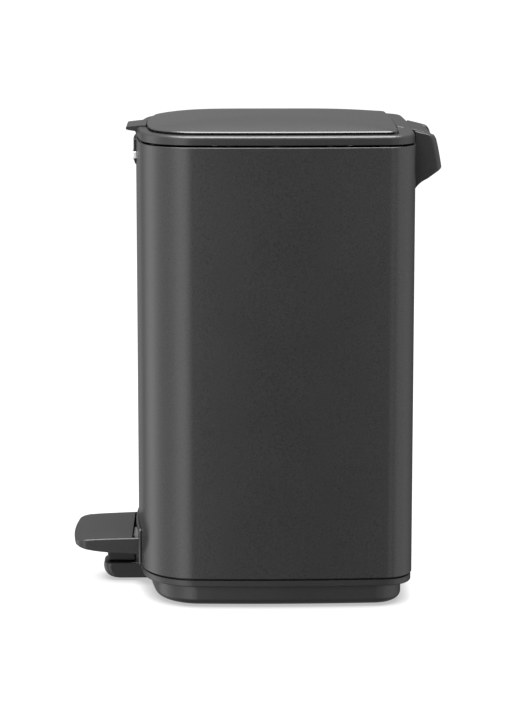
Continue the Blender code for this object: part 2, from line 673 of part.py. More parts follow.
def lid_liner(parent, finish, steel):
    """Plastic liner under the panel, with the four screws that clamp it to the frame."""
    profile = [
        (LINER, 0.0120, 0.3500),
        (LINER, 0.0108, 0.3493),
        (LINER, 0.0012, 0.3493),
        (LINER, 0.0, 0.3500),
        (LINER, 0.0, 0.3513),
    ]
    liner = plan_loft(profile)
    for number, (x, y) in enumerate(lid_screw_spots(), 1):
        liner = cut(liner, bar((x, y, 0.34), (x, y, 0.36), 0.0015, 14))
        screw = [(0, 0.0019), (0.0004, 0.0026), (0.0011, 0.0026), (0.0011, 0.0012), (0.0058, 0.0012)]
        piece(f"lid_screw_{number}", turned((x, y, 0.3479), (x, y, 1), screw, 10), parent, steel)
    piece("lid_liner", liner, parent, finish)


def lid_buffers(parent, finish):
    """Rubber buffers between the lid frame and the collar."""
    spots = [(x, y) for y in (-0.035, 0.040) for x in (-0.0818, 0.0818)]
    for number, (x, y) in enumerate(spots, 1):
        profile = [(0, 0.0014), (0.0008, 0.0022), (0.0036, 0.0022)]
        piece(f"lid_buffer_{number}", turned((x, y, 0.3477), (x, y, 1), profile, 10), parent, finish)


# ---------------------------------------------------------------- pedal


def pedal_outline(inset):
    """Plan of the pedal cap: straight root, slightly tapered sides, rounded tip."""
    corner, taper, bow = 0.0095, 0.0012, 0.0020
    half_tip = PEDAL_HALF - taper - inset
    corner_y = PEDAL_TIP_Y + inset + bow + corner - inset
    right = [Vector((0.0, PEDAL_TIP_Y + inset))]
    inner = half_tip - (corner - inset)
    for step in range(1, 4):
        x = inner * step / 3
        right.append(Vector((x, PEDAL_TIP_Y + inset + bow * (x / inner) ** 2)))
    right += arc((inner, corner_y), corner - inset, -90, 0, 5)[1:]
    root = PEDAL_ROOT_Y - inset
    start = right[-1]
    for step in range(1, 4):
        t = step / 3
        right.append(Vector((start.x + taper * t, start.y + (root - start.y) * t)))
    end = right[-1]
    right += [Vector((end.x * (1 - k / 2), root)) for k in range(1, 3)]
    return right + [Vector((-p.x, p.y)) for p in reversed(right[1:-1])]


def pedal_top(y):
    """Height of the cap's side edge along its length."""
    out = (y - PEDAL_ROOT_Y) / (PEDAL_TIP_Y - PEDAL_ROOT_Y)
    return 0.0414 - 0.0016 * out - 0.0014 * max(out, 0) ** 6


def pedal_bottom(y):
    """Height of the cap's lower edge, which rises to the tip."""
    out = (y - PEDAL_ROOT_Y) / (PEDAL_TIP_Y - PEDAL_ROOT_Y)
    return 0.0282 + 0.0030 * out + 0.0046 * max(out, 0) ** 5


def pedal_cap(parent, finish, steel):
    """Hollow moulded cap over the lever. Its top ends short of the window, its walls run in."""
    mid_y = (PEDAL_ROOT_Y + PEDAL_TIP_Y) / 2

    def edge(inset, height, lift):
        return [Vector((p.x, p.y, height(p.y) + lift)) for p in pedal_outline(inset)]

    def crowned(inset, scale, lift):
        middle = Vector((0.0, mid_y))
        points = [middle + (p - middle) * scale for p in pedal_outline(inset)]
        crown = 0.0016 * (1 - scale**2)
        return [Vector((p.x, p.y, pedal_top(p.y) + crown + lift)) for p in points]

    rings = [crowned(0.0030, s, -0.0024) for s in (0.2, 0.7, 1.0)]
    rings += [edge(0.0024, pedal_bottom, 0.0006), edge(0.0019, pedal_bottom, 0.0)]
    rings += [edge(0.0007, pedal_bottom, 0.0), edge(0.0, pedal_bottom, 0.0009)]
    rings += [edge(0.0001, pedal_top, -0.0012), edge(0.0005, pedal_top, -0.0004)]
    rings += [crowned(0.0014, s, 0.0) for s in (1.0, 0.88, 0.6, 0.25)]
    half = LEVER_HALF + 0.0006
    root_y = PEDAL_ROOT_Y
    opening = block((-half, root_y - 0.006, 0.02), (half, root_y + 0.005, LEVER_TOP + 0.0006))
    notch_half = PEDAL_HALF - 0.0023
    notch = block((-notch_half, TOP_PLATE_END_Y, 0.0330), (notch_half, root_y + FAR, 0.06))
    cap = cut(loft(rings), opening, notch)
    for number, x in enumerate((-0.0165, 0.0165), 1):
        y = -0.1260
        boss = bar((x, y, LEVER_TOP + GAP), (x, y, 0.0405), 0.0036, 20)
        hole = bar((x, y, 0.03), (x, y, 0.0392), 0.0015, 14)
        cap = cut(join(cap, boss), hole)
        profile = [(0, 0.0022), (0.0005, 0.0028), (0.0013, 0.0028), (0.0013, 0.0012), (0.0070, 0.0012)]
        start = (x, y, LEVER_TOP - LEVER_SHEET - GAP - 0.0013)
        piece(f"pedal_screw_{number}", turned(start, (x, y, 1), profile, 10), parent, steel)
    piece("pedal_cap", cap, parent, finish, 28)


def pedal_lever(parent, steel):
    """Pressed steel lever: flat tongue in the cap, flanged middle on the axle, pad at the rod."""
    top = [(-0.1440, LEVER_TOP), (-0.0560, LEVER_TOP), (0.0850, LEVER_PAD + 0.0004)]
    top += [(0.0920, LEVER_PAD), (0.1013, LEVER_PAD)]
    plate = top + [(y, z - LEVER_SHEET) for y, z in reversed(top)]
    tongue = block(
        (-0.0220, -0.1440, LEVER_TOP - LEVER_SHEET), (0.0220, -0.1120, LEVER_TOP), 0.003, "Z"
    )
    lever = join(prism_x(plate, -LEVER_HALF, LEVER_HALF), tongue)
    under = LEVER_TOP - LEVER_SHEET + 0.0005
    flange = [(-0.0960, under), (-0.0860, 0.0262), (-0.0560, 0.0242), (0.0600, 0.0170)]
    flange += [(0.0800, 0.0214), (-0.0560, under)]
    for side in (-1, 1):
        x0, x1 = sorted((side * (LEVER_HALF - 0.0020), side * LEVER_HALF))
        lever = join(lever, prism_x(flange, x0, x1))
    bore = bar((-0.05, PIVOT_Y, PIVOT_Z), (0.05, PIVOT_Y, PIVOT_Z), AXLE_R + GAP)
    holes = [bar((x, -0.1260, 0.02), (x, -0.1260, 0.05), 0.0015, 14) for x in (-0.0165, 0.0165)]
    piece("pedal_lever", cut(lever, bore, *holes), parent, steel)


# ---------------------------------------------------------------- push rod


def push_rod(parent, steel, finish):
    """Bent wire rod with its foot, and the crosshead that carries the damper's plunger."""
    foot_z = LEVER_PAD + 0.0005
    bend = 0.0030
    path = [Vector((ROD_X, ROD_Y, foot_z + 0.0030)), Vector((ROD_X, ROD_Y, ROD_TOP - bend))]
    corner = arc((ROD_X - bend, ROD_TOP - bend), bend, 0, 90, 5)[1:]
    path += [Vector((p.x, ROD_Y, p.y)) for p in corner]
    path += [Vector((-0.0056, ROD_Y, ROD_TOP))]
    piece("push_rod", wire(path, ROD_R, Vector((0, 1, 0)), 12), parent, steel)
    shoe = turned(
        (ROD_X, ROD_Y, foot_z), (ROD_X, ROD_Y, 1), [(0, 0.0026), (0.0006, 0.0032), (0.0110, 0.0032)]
    )
    socket = bar((ROD_X, ROD_Y, foot_z + 0.0027), (ROD_X, ROD_Y, 0.06), ROD_R + GAP)
    piece("rod_shoe", cut(shoe, socket), parent, finish)
    head = block((DAMPER_X - 0.0040, 0.0955, 0.2563), (ROD_X + 0.0045, 0.1027, 0.2623), 0.002, "Z")
    eye = bar((ROD_X, ROD_Y, 0.24), (ROD_X, ROD_Y, 0.28), ROD_R + GAP)
    piece("rod_crosshead", cut(head, eye), parent, finish)
    plunger = [(0, 0.0030), (0.0006, 0.0036), (0.0044, 0.0036), (0.0044, 0.0015), (0.0700, 0.0015)]
    start = (DAMPER_X, DAMPER_Y, 0.1860)
    piece("damper_plunger", turned(start, (DAMPER_X, DAMPER_Y, 1), plunger, 16), parent, steel)


# ---------------------------------------------------------------- the whole can


def build():
    clear_scene()
    coated = look("coated_steel", (0.050, 0.050, 0.051), 0.50, 0.25)
    plastic = look("moulded_plastic", (0.045, 0.045, 0.046), 0.55)
    plate = look("clip_plate", (0.60, 0.60, 0.61), 0.35, 1.0)
    rubber = look("black_rubber", (0.018, 0.018, 0.018), 0.80)
    steel = look("zinc_steel", (0.50, 0.50, 0.51), 0.38, 1.0)
    bucket = look("bucket_plastic", (0.085, 0.087, 0.090), 0.50)
    white = look("guide_plastic", (0.62, 0.62, 0.60), 0.45)

    body = empty("body_frame", (0, BODY_Y, 0))
    lid = empty("lid_axis", (0, HINGE_Y, HINGE_Z), body)
    pedal = empty("pedal_axis", (0, PIVOT_Y, PIVOT_Z), body)
    rod = empty("rod_axis", (ROD_X, ROD_Y, 0), body)

    body_shell(body, coated)
    base_tray(body, plastic)
    foot_pads(body, rubber)
    pedal_surround(body, plastic)
    pedal_stop(body, rubber)
    axle_and_brackets(body, white, steel)
    rim_collar(body, plastic)
    front_clip(body, plastic, plate)
    rear_grip(body, plastic)
    grip_fixings(body, steel)
    rod_guides(body, white)
    damper(body, white, steel)
    inner_bucket(body, bucket)
    bucket_handle(body, steel)

    lid_frame(lid, plastic)
    lid_panel(lid, coated)
    lid_liner(lid, plastic, steel)
    lid_buffers(lid, rubber)

    pedal_cap(pedal, plastic, steel)
    pedal_lever(pedal, steel)
    push_rod(rod, steel, white)


build()
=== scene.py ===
"""Looks of the pedal trash can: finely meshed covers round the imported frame, finishes and studio.

Metres. Outlines and heights are drawn from the middle of the can's body, as the can was designed,
and BODY_Y moves them into the frame.
"""

import json
import math
from collections import namedtuple

import bmesh
import bpy
from mathutils import Matrix, Vector

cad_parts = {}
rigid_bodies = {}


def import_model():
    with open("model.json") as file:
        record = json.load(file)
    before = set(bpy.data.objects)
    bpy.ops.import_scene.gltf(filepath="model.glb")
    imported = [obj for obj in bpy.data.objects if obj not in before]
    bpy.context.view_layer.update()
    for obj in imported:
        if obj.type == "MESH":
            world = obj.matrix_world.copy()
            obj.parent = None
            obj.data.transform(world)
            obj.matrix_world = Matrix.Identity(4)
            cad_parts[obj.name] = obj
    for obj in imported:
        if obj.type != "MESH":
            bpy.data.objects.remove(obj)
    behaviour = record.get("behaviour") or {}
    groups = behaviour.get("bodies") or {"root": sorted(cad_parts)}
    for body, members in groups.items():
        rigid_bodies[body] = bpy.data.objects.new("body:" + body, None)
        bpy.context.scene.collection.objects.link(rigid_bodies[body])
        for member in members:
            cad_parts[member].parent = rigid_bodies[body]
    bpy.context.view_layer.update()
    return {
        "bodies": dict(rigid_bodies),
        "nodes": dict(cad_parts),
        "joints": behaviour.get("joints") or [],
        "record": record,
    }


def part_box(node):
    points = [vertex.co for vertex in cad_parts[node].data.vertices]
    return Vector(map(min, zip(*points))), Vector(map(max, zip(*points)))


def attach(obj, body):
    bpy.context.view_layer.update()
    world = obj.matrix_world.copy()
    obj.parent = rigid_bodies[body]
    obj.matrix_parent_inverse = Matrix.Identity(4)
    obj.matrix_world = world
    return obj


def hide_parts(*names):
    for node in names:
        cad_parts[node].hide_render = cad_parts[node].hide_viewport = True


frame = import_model()

# ---------------------------------------------------------------- driving dimensions

# A plan is an oblong with bowed faces: its size, the radii of those faces and of its corners.
Plan = namedtuple("Plan", "depth width mid_y side_r front_r rear_r front_corner rear_corner")
CAN = Plan(0.210, 0.175, 0.0, 1.361, 0.309, 1.452, 0.042, 0.0215)
TUB = Plan(0.1930, 0.171, 0.0002, 1.355, 0.299, 1.446, 0.0355, 0.0215)
PANEL = Plan(0.1880, 0.1590, -0.0025, 1.353, 0.301, 1.444, 0.036, 0.0075)
LEDGE = Plan(0.1740, 0.1450, -0.0025, 1.346, 0.294, 1.437, 0.029, 0.0070)
LINER = Plan(0.1740, 0.1580, -0.0055, 1.353, 0.301, 1.444, 0.036, 0.0160)
BUCKET = Plan(0.1805, 0.1510, -0.00225, 1.349, 0.297, 1.440, 0.034, 0.0155)

shell_low, shell_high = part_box("body_shell")
BODY_Y = (shell_low.y + shell_high.y) / 2
SHELL_BOTTOM, SHELL_TOP = shell_low.z, shell_high.z
FRONT, REAR = -CAN.depth / 2, CAN.depth / 2
SHEET, HEM, FOLD = 0.0007, 0.0014, 0.0100  # the sheet, its folded edge and how far that reaches
SET_BACK = 0.0007  # of the mouldings above and below the shell, from the shell's face
FLANGE_TOP = 0.0213
LID_BOTTOM, RIM_TOP, RECESS = 0.3492, 0.3562, 0.3540
PANEL_EDGE, CROWN = 0.3586, 0.0064
HINGE_Y, HINGE_Z, PIN_HOLE_R = 0.1130, 0.3445, 0.0023
WINDOW_HALF, WINDOW_TOP = 0.0418, 0.0484
CLIP_SLOT_HALF, CLIP_SLOT_LOW, CLIP_SLOT_HIGH = 0.0056, 0.3350, 0.3430
CRANK_ROOM_HALF = 0.0115
HANDLE_Z = 0.3449
PEDAL_TIP_Y, PEDAL_ROOT_Y, PEDAL_HALF = -0.1553, -0.1036, 0.0395
FAR = 0.02  # how far a cutting shape reaches past what it cuts

# ---------------------------------------------------------------- mesh helpers


def arc(centre, radius, start, end, steps):
    """Points on an arc, both ends included. Angles in degrees."""
    angles = (math.radians(start + (end - start) * i / steps) for i in range(steps + 1))
    return [
        Vector((centre[0] + radius * math.cos(a), centre[1] + radius * math.sin(a)))
        for a in angles
    ]


def circle(centre, radius, sides):
    """Corners of a circle drawn with so many sides."""
    return arc(centre, radius, 0, 360, sides)[:-1]


def quarter(steps):
    """(sine, cosine) pairs through a quarter turn, both ends included."""
    angles = [math.pi / 2 * k / steps for k in range(steps + 1)]
    return [(math.sin(a), math.cos(a)) for a in angles]


def mirrored(points):
    """The points on the other side of the middle, in reverse order."""
    return [Vector((-p.x, *p[1:])) for p in reversed(points)]


def circles_meet(a, ra, b, rb):
    """Where two circles cross, at the crossing with the larger X."""
    a, along = Vector(a), Vector(b) - Vector(a)
    d = along.length
    t = (ra * ra - rb * rb + d * d) / (2 * d)
    h = math.sqrt(ra * ra - t * t)
    along.normalize()
    across = Vector((-along.y, along.x))
    foot = a + along * t
    return max((foot + across * h, foot - across * h), key=lambda p: p.x)


def outline(plan, inset=0.0):
    """The plan's outline, moved in by inset, counter-clockwise from the middle of the front."""
    front = (0.0, plan.mid_y - plan.depth / 2 + plan.front_r)
    rear = (0.0, plan.mid_y + plan.depth / 2 - plan.rear_r)
    side = (plan.width / 2 - plan.side_r, plan.mid_y)
    fc, rc = plan.front_corner, plan.rear_corner
    front_mid = circles_meet(front, plan.front_r - fc, side, plan.side_r - fc)
    rear_mid = circles_meet(rear, plan.rear_r - rc, side, plan.side_r - rc)

    def bearing(centre, point):
        return math.degrees(math.atan2(point[1] - centre[1], point[0] - centre[0]))

    front_end, side_start = bearing(front, front_mid), bearing(side, front_mid)
    side_end, rear_start = bearing(side, rear_mid), bearing(rear, rear_mid)
    half = (
        arc(front, plan.front_r - inset, -90, front_end, 10)
        + arc(front_mid, fc - inset, front_end, side_start, 20)[1:]
        + arc(side, plan.side_r - inset, side_start, side_end, 16)[1:]
        + arc(rear_mid, rc - inset, side_end, rear_start, 16)[1:]
        + arc(rear, plan.rear_r - inset, rear_start, 90, 12)[1:]
    )
    return half + mirrored(half[1:-1])


def rounded(corners, steps=4):
    """A closed polygon from (x, y, radius) corners, each rounded by its radius."""
    points = []
    count = len(corners)
    for i, (x, y, radius) in enumerate(corners):
        here = Vector((x, y))
        before = (Vector(corners[i - 1][:2]) - here).normalized()
        after = (Vector(corners[(i + 1) % count][:2]) - here).normalized()
        if not radius:
            points.append(here)
            continue
        half = before.angle(after) / 2
        reach = radius / math.tan(half)
        start, end = here + before * reach, here + after * reach
        middle = here + (before + after).normalized() * (radius / math.sin(half))
        a0 = math.atan2(start.y - middle.y, start.x - middle.x)
        turn = math.atan2(end.y - middle.y, end.x - middle.x) - a0
        turn = (turn + math.pi) % (2 * math.pi) - math.pi
        for k in range(steps + 1):
            a = a0 + turn * k / steps
            points.append(middle + radius * Vector((math.cos(a), math.sin(a))))
    return points


def at_height(points, z):
    return [Vector((p.x, p.y, z)) for p in points]


def loft(rings, closed=False):
    """Skins a stack of equal rings. Closed: the last meets the first. Open: the ends are capped."""
    bm = bmesh.new()
    loops = [[bm.verts.new(p) for p in points] for points in rings]
    count = len(rings[0])
    pairs = list(zip(loops, loops[1:]))
    if closed:
        pairs.append((loops[-1], loops[0]))
    for low, high in pairs:
        for i in range(count):
            j = (i + 1) % count
            bm.faces.new((low[i], low[j], high[j], high[i]))
    if not closed:
        bm.faces.new(list(reversed(loops[0])))
        bm.faces.new(loops[-1])
    return bm


def wall(plan, corners):
    """A closed wall that follows the plan. corners: (inset, height, radius)."""
    return loft([at_height(outline(plan, p.x), p.y) for p in rounded(corners)], closed=True)


def plan_loft(profile, closed=False):
    """A loft through (plan, inset, height) entries."""
    return loft([at_height(outline(plan, inset), z) for plan, inset, z in profile], closed)


def area_sign(profile):
    """1 for a profile that runs counter-clockwise, -1 for one that runs clockwise."""
    total = sum(a.x * b.y - b.x * a.y for a, b in zip(profile, profile[1:] + profile[:1]))
    return 1 if total > 0 else -1


def prism_x(profile, x0, x1):
    """A (y, z) profile extruded along X, its faces outwards whichever way round it runs."""
    profile = [Vector(p) for p in profile]
    if area_sign(profile) < 0:
        profile.reverse()
    return loft([[Vector((x, p.x, p.y)) for p in profile] for x in (x0, x1)])


def block(low, high, rounding=0.0, edges="Z"):
    """A box between two corners. Its edges along the named axes can be rounded."""
    low, high = Vector(low), Vector(high)
    bm = bmesh.new()
    bmesh.ops.create_cube(bm, size=1.0)
    bmesh.ops.scale(bm, vec=high - low, verts=bm.verts)
    bmesh.ops.translate(bm, vec=(low + high) / 2, verts=bm.verts)
    if rounding:
        chosen = []
        for edge in bm.edges:
            run = edge.verts[0].co - edge.verts[1].co
            if any(abs(run["XYZ".index(axis)]) > 1e-5 for axis in edges):
                chosen.append(edge)
        bmesh.ops.bevel(
            bm, geom=chosen, offset=rounding, segments=6, profile=0.5, affect="EDGES"
        )
    return bm


def bar(start, end, radius, sides=32):
    """A plain round bar."""
    start, end = Vector(start), Vector(end)
    turn = Vector((0, 0, 1)).rotation_difference((end - start).normalized()).to_matrix()
    section = at_height(circle((0, 0), radius, sides), 0)
    return loft([[at + turn @ p for p in section] for at in (start, end)])


def combine(operation, solid, *others):
    """The Boolean of a closed mesh with each of the others in turn, as one new mesh."""
    for other in others:
        pair = []
        for bm in (solid, other):
            bmesh.ops.recalc_face_normals(bm, faces=bm.faces)
            mesh = bpy.data.meshes.new("operand")
            bm.to_mesh(mesh)
            bm.free()
            obj = bpy.data.objects.new("operand", mesh)
            bpy.context.scene.collection.objects.link(obj)
            pair.append(obj)
        modifier = pair[0].modifiers.new("combine", "BOOLEAN")
        modifier.operation = operation
        modifier.solver = "EXACT"
        modifier.object = pair[1]
        solid = bmesh.new()
        solid.from_object(pair[0], bpy.context.evaluated_depsgraph_get())
        for obj in pair:
            bpy.data.objects.remove(obj, do_unlink=True)
    return solid


def cut(solid, *others):
    return combine("DIFFERENCE", solid, *others)


def join(solid, *others):
    return combine("UNION", solid, *others)


def soften(bm, width, segments, sharper_than):
    """Rounds every edge of a closed mesh that is sharper than an angle, except hairline folds."""
    bmesh.ops.remove_doubles(bm, verts=bm.verts, dist=1e-5)
    bmesh.ops.dissolve_limit(
        bm, angle_limit=math.radians(0.2), verts=bm.verts, edges=bm.edges, delimit={"NORMAL"}
    )
    bmesh.ops.recalc_face_normals(bm, faces=bm.faces)
    least, most = math.radians(sharper_than), math.radians(165)
    chosen = [e for e in bm.edges if len(e.link_faces) == 2 and least < e.calc_face_angle() < most]
    bmesh.ops.bevel(
        bm, geom=chosen, offset=width, segments=segments, profile=0.5, affect="EDGES"
    )
    return bm


def weigh_normals(obj):
    """Keeps flat faces flat and lets the small roundings between them carry the shading."""
    modifier = obj.modifiers.new("weigh", "WEIGHTED_NORMAL")
    modifier.keep_sharp = True
    modifier.weight = 50
    bpy.context.view_layer.update()
    graph = bpy.context.evaluated_depsgraph_get()
    before = obj.data
    name = before.name
    obj.data = bpy.data.meshes.new_from_object(obj.evaluated_get(graph), depsgraph=graph)
    obj.modifiers.clear()
    bpy.data.meshes.remove(before)
    obj.data.name = name


def piece(name, bm, body, finish, nodes, sharp=35.0):
    """A mesh drawn from the body's middle becomes a piece that rides on a CAD body."""
    bmesh.ops.recalc_face_normals(bm, faces=bm.faces)
    bmesh.ops.translate(bm, vec=(0, BODY_Y, 0), verts=bm.verts)
    mesh = bpy.data.meshes.new(name)
    bm.to_mesh(mesh)
    bm.free()
    mesh.shade_smooth()
    mesh.set_sharp_from_angle(angle=math.radians(sharp))
    mesh.materials.append(FINISHES[finish])
    obj = bpy.data.objects.new(name, mesh)
    bpy.context.scene.collection.objects.link(obj)
    weigh_normals(obj)
    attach(obj, body)
    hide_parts(*nodes)


# ---------------------------------------------------------------- finishes


class Nodes:
    """Short hand for one material's node tree."""

    def __init__(self, name):
        self.material = bpy.data.materials.new(name)
        self.material.use_nodes = True
        self.tree = self.material.node_tree
        self.shader = self.tree.nodes["Principled BSDF"]
        self.place = self.add("ShaderNodeTexCoord").outputs["Object"]

    def add(self, kind):
        return self.tree.nodes.new(kind)

    def link(self, source, target):
        self.tree.links.new(source, target)

    def noise(self, scale):
        """Noise in the piece's own coordinates, with scale features to the metre."""
        texture = self.add("ShaderNodeTexNoise")
        texture.inputs["Scale"].default_value = scale
        texture.inputs["Detail"].default_value = 3.0
        self.link(self.place, texture.inputs["Vector"])
        return texture.outputs["Fac"]

    def ramp(self, source, stops):
        """stops: (position, grey or colour)."""
        ramp = self.add("ShaderNodeValToRGB")
        elements = ramp.color_ramp.elements
        while len(elements) < len(stops):
            elements.new(0.5)
        for element, (position, colour) in zip(elements, stops):
            element.position = position
            if isinstance(colour, float):
                colour = (colour, colour, colour)
            element.color = (*colour, 1.0)
        self.link(source, ramp.inputs["Fac"])
        return ramp.outputs["Color"]

    def bump(self, source, strength, distance):
        bump = self.add("ShaderNodeBump")
        bump.inputs["Strength"].default_value = strength
        bump.inputs["Distance"].default_value = distance
        self.link(source, bump.inputs["Height"])
        return bump.outputs["Normal"]

    def set(self, **values):
        """Links sockets to the shader's inputs and sets plain values on them."""
        for key, value in values.items():
            target = self.shader.inputs[key.replace("_", " ")]
            if isinstance(value, bpy.types.NodeSocket):
                self.link(value, target)
            else:
                target.default_value = value


def tint(colour, factor):
    return tuple(c * factor for c in colour)


def textured(name, colour, spread, grain, bump, roughness, metallic=0.0):
    """A finish whose colour and surface vary with its grain, and its gloss in broad patches."""
    patches_per_metre, gloss_drift, relief = 22.0, 0.012, grain * 0.4
    n = Nodes(name)
    fine = n.noise(1.0 / grain)
    broad = n.noise(patches_per_metre)
    colour_map = n.ramp(fine, [(0.30, tint(colour, 1 - spread)), (0.70, tint(colour, 1 + spread))])
    gloss = n.ramp(broad, [(0.35, roughness - gloss_drift), (0.65, roughness + gloss_drift)])
    surface = n.bump(fine, bump, relief)
    n.set(Base_Color=colour_map, Roughness=gloss, Normal=surface, Metallic=metallic)
    return n.material


# Colour, how far it varies, grain size, strength of the grain's relief, roughness, metallic.
LOOKS = {
    "coated_steel": ((0.0165, 0.0165, 0.0169), 0.30, 0.0010, 0.20, 0.26),
    "moulded_plastic": ((0.0118, 0.0118, 0.0121), 0.30, 0.0009, 0.26, 0.32),
    "clip_plate": ((0.68, 0.68, 0.69), 0.06, 0.0009, 0.10, 0.50, 0.7),
    "black_rubber": ((0.016, 0.016, 0.016), 0.20, 0.0010, 0.40, 0.75),
    "zinc_steel": ((0.50, 0.50, 0.51), 0.12, 0.0020, 0.08, 0.34, 1.0),
    "bucket_plastic": ((0.080, 0.082, 0.085), 0.10, 0.0008, 0.25, 0.45),
    "guide_plastic": ((0.60, 0.60, 0.58), 0.05, 0.0009, 0.15, 0.42),
}
FINISHES = {name: textured(name, *values) for name, values in LOOKS.items()}

# ---------------------------------------------------------------- pieces of the body


def front_y(x):
    """The shell's front face at a distance from its middle."""
    return FRONT + CAN.front_r - math.sqrt(CAN.front_r**2 - x * x)


def body_shell():
    """Steel sleeve with folded hems at both ends and a lock seam down the back."""
    low, high = SHELL_BOTTOM, SHELL_TOP
    bend, dent, seam = 0.00065, 0.0003, 0.0003
    corners = [
        (0.0, low, bend),
        (0.0, high, bend),
        (HEM, high, bend),
        (HEM, high - FOLD, dent),
        (SHEET, high - FOLD - 0.0008, dent),
        (SHEET, low + FOLD + 0.0008, dent),
        (HEM, low + FOLD, dent),
        (HEM, low, bend),
    ]
    shell = cut(
        wall(CAN, corners),
        block((-WINDOW_HALF, FRONT - FAR, 0), (WINDOW_HALF, FRONT + FAR, WINDOW_TOP), 0.004, "Y"),
        block((-CLIP_SLOT_HALF, FRONT - FAR, CLIP_SLOT_LOW),
              (CLIP_SLOT_HALF, FRONT + FAR, CLIP_SLOT_HIGH)),
        block((-CRANK_ROOM_HALF, REAR - FAR, 0.3270), (CRANK_ROOM_HALF, REAR + FAR, high + FAR)),
        block((-seam, REAR - seam, low + FOLD), (seam, REAR + FAR, 0.3085)),
    )
    piece("shell", shell, "body", "coated_steel", ["body_shell"])


def foot_ring(z):
    """Plan of the front foot at one height: its nose is rounded below, above and at its corners."""
    nose, low_r, high_r, low_z, high_z = -0.1325, 0.0088, 0.0025, 0.0105, 0.0118
    if z < low_z:
        front = nose + low_r - math.sqrt(max(0.0, low_r**2 - (low_z - z) ** 2))
    elif z < high_z:
        front = nose
    else:
        front = nose + high_r - math.sqrt(max(0.0, high_r**2 - (z - high_z) ** 2))
    half, root, corner, edge = 0.0125, -0.0948, 0.0060, 0.0012
    near = min(high_z + high_r - z, z + low_r - low_z)
    if near < edge:
        half -= edge - math.sqrt(max(0.0, edge**2 - (edge - near) ** 2))
    plan = [(half, root, 0), (-half, root, 0), (-half, front, corner), (half, front, corner)]
    return at_height(rounded(plan, 8), z)


def base_tray():
    """Moulded tray: tub, flange under the shell, upstand, front foot and a relieved underside."""
    foot_width, foot_height, foot_top = 0.0078, 0.0062, 0.0071
    profile = [
        (TUB, foot_width * (1 - sine), foot_top - foot_height * cosine)
        for sine, cosine in quarter(14)
    ]
    profile += [
        (TUB, 0.0, 0.0156),
        (TUB, -0.0001, 0.0159),
        (CAN, 0.0016, 0.0161),
        (CAN, 0.0011, 0.0163),
        (CAN, 0.0008, 0.0167),
        (CAN, SET_BACK, 0.0172),
        (CAN, SET_BACK, 0.0206),
        (CAN, 0.0008, 0.0210),
        (CAN, 0.0012, FLANGE_TOP),
        (CAN, 0.0030, FLANGE_TOP),
        (CAN, 0.0030, 0.0229),
        (CAN, 0.0018, 0.0237),
        (CAN, 0.0018, 0.0296),
        (CAN, 0.0022, 0.0300),
        (CAN, 0.0036, 0.0300),
        (CAN, 0.0045, 0.0200),
        (TUB, 0.0022, 0.0150),
        (TUB, 0.0022, 0.0080),
        (TUB, 0.0027, 0.0056),
        (TUB, 0.0040, 0.0039),
        (TUB, 0.0060, 0.0030),
        (TUB, 0.0085, 0.0027),
    ]
    levels = [0.0017, 0.0018, 0.0020, 0.0024, 0.0029, 0.0036, 0.0045, 0.0056, 0.0070, 0.0087]
    levels += [0.0105, 0.0118, 0.0126, 0.0131, 0.0136, 0.0140, 0.0142, 0.0143]
    tray = join(plan_loft(profile), loft([foot_ring(z) for z in levels]))
    for x in (-0.0235, 0.0235):
        tray = join(tray, block((x - 0.0075, -0.072, 0.0020), (x + 0.0075, -0.056, 0.0160)))
    relief = [(TUB, 0.0300, 0.0000), (TUB, 0.0300, 0.0013), (TUB, 0.0305, 0.0015)]
    rib_low, rib_high = (-0.0015, -0.0900, -0.0010), (0.0015, 0.0900, 0.0030)
    relief = cut(plan_loft(relief), block(rib_low, rib_high))
    tray = cut(
        tray,
        block((-0.0421, FRONT - FAR, FLANGE_TOP), (0.0421, FRONT + FAR, 0.05)),
        block((-0.0150, REAR - FAR, 0.0195), (0.0150, REAR - 0.0012, 0.05)),
        relief,
    )
    piece("tray", tray, "body", "moulded_plastic", ["base_tray"], 30)


def foot_pads():
    """Round rubber feet, a little hollow in the middle of the face they stand on."""
    profile = [(0.0002, 0.0040), (0.0002, 0.0046), (0.0, 0.0050), (0.0, 0.0066)]
    profile += [(0.0001, 0.0071), (0.0003, 0.0074), (0.0006, 0.0075)]  # (height, radius)
    spots = [(x, y) for y in (-0.052, 0.066) for x in (-0.052, 0.052)]
    for number, (x, y) in enumerate(spots, 1):
        rings = [at_height(circle((x, y), r, 48), z) for z, r in profile]
        piece(f"pad_{number}", loft(rings), "body", "black_rubber", [f"foot_pad_{number}"])


def arch(half, top, corner):
    """An arch from its foot on the left, over the top, to its foot on the right, as (x, z)."""
    low = 0.0221
    left = [Vector((-half, low + (top - corner - low) * k / 4)) for k in range(4)]
    left += arc((-half + corner, top - corner), corner, 180, 90, 8)
    left += [Vector(((corner - half) * (1 - k / 6), top)) for k in range(1, 6)]
    return left + [Vector((0.0, top))] + mirrored(left)


def pedal_surround():
    """Arch round the pedal's window: a moulding with rounded edges swept along the arch."""
    rings = []
    for inner, outer in zip(arch(0.0403, 0.0462, 0.0025), arch(0.0445, 0.0500, 0.0040)):
        width = (outer - inner).length
        section = rounded([
            (0.0, -0.0050, 0.0002),
            (0.0012, -0.0050, 0.0002),
            (0.0012, 0.0003, 0),
            (width, 0.0003, 0.0001),
            (width, 0.0013, 0.0004),
            (width - 0.0008, 0.0020, 0.0007),
            (0.0, 0.0020, 0.0007),
        ])
        ring = []
        for p in section:
            spot = inner + (outer - inner) * (p.x / width)
            ring.append(Vector((spot.x, front_y(spot.x) - p.y, spot.y)))
        rings.append(ring)
    piece("surround", loft(rings), "body", "moulded_plastic", ["pedal_surround"], 40)


